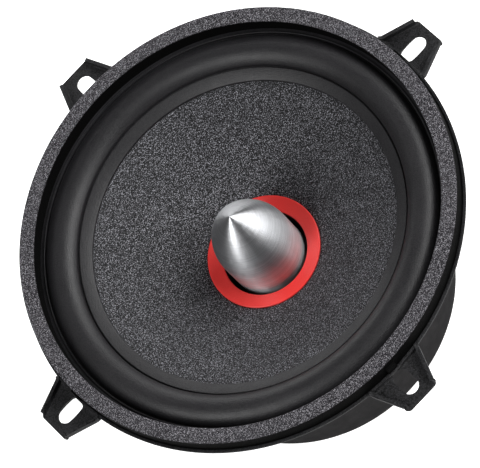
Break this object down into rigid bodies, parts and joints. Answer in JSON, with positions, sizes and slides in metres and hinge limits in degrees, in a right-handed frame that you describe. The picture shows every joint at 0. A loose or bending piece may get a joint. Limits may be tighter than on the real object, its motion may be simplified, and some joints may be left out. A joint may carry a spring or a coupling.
{
  "type": "car door speaker",
  "caption": "Round car speaker with a speckled cone, half-roll rubber edge, fixed aluminium phase plug in a red neck ring, slotted ears and a covered magnet.",
  "frame": {"origin": "centre of the flat back of the magnet boot, on the speaker's axis", "axes": "+Z along the axis out of the front of the cone; the four mounting ears lie on +X, +Y, -X and -Y; the terminals are on the spoke between +X and +Y"},
  "size_m": [0.153, 0.153, 0.0657],
  "materials": {
    "basket_paint": "fine textured satin paint",
    "gasket_rubber": "pebbled matte",
    "seal_foam": "matte foam",
    "surround_rubber": "smooth satin matte",
    "cone_pulp": "pressed pulp with fine light fibres",
    "ring_red": "satin red",
    "former_film": "amber film",
    "coil_copper": "enamelled wire",
    "spider_cloth": "resin-treated cloth",
    "plate_steel": "zinc plated",
    "magnet_ceramic": "ground ceramic",
    "boot_rubber": "smooth matte",
    "plug_aluminium": "turned and brushed",
    "screw_steel": "zinc plated",
    "rivet_steel": "zinc plated",
    "board_fibre": "moulded",
    "terminal_tin": "tin plated",
    "terminal_brass": "plain",
    "lead_braid": "braided"
  },
  "bodies": {
    "chassis": {"basket": "basket_paint", "front_gasket": "gasket_rubber", "mounting_seal": "seal_foam", "surround": "surround_rubber", "spider": "spider_cloth", "top_plate": "plate_steel", "magnet": "magnet_ceramic", "pole_yoke": "plate_steel", "magnet_boot": "boot_rubber", "phase_plug": "plug_aluminium", "phase_plug_screw": "screw_steel", "basket_rivet_1": "rivet_steel", "basket_rivet_2": "rivet_steel", "basket_rivet_3": "rivet_steel", "basket_rivet_4": "rivet_steel", "terminal_board": "board_fibre", "terminal_positive": "terminal_tin", "terminal_negative": "terminal_tin", "terminal_rivet_positive": "terminal_brass", "terminal_rivet_negative": "terminal_brass", "tinsel_lead_positive": "lead_braid", "tinsel_lead_negative": "lead_braid", "polarity_mark": "ring_red"},
    "cone_assembly": {"cone": "cone_pulp", "neck_ring": "ring_red", "voice_coil_former": "former_film", "voice_coil_winding": "coil_copper", "solder_pad_positive": "terminal_tin", "solder_pad_negative": "terminal_tin"}
  },
  "joints": [
    {"name": "cone_travel", "type": "slide", "parent": "chassis", "child": "cone_assembly", "axis": [0, 0, 1], "range_m": [-0.004, 0.004], "stiffness_N_per_m": 1500, "deforming": ["surround", "spider", "tinsel_lead_positive", "tinsel_lead_negative"]}
  ]
}
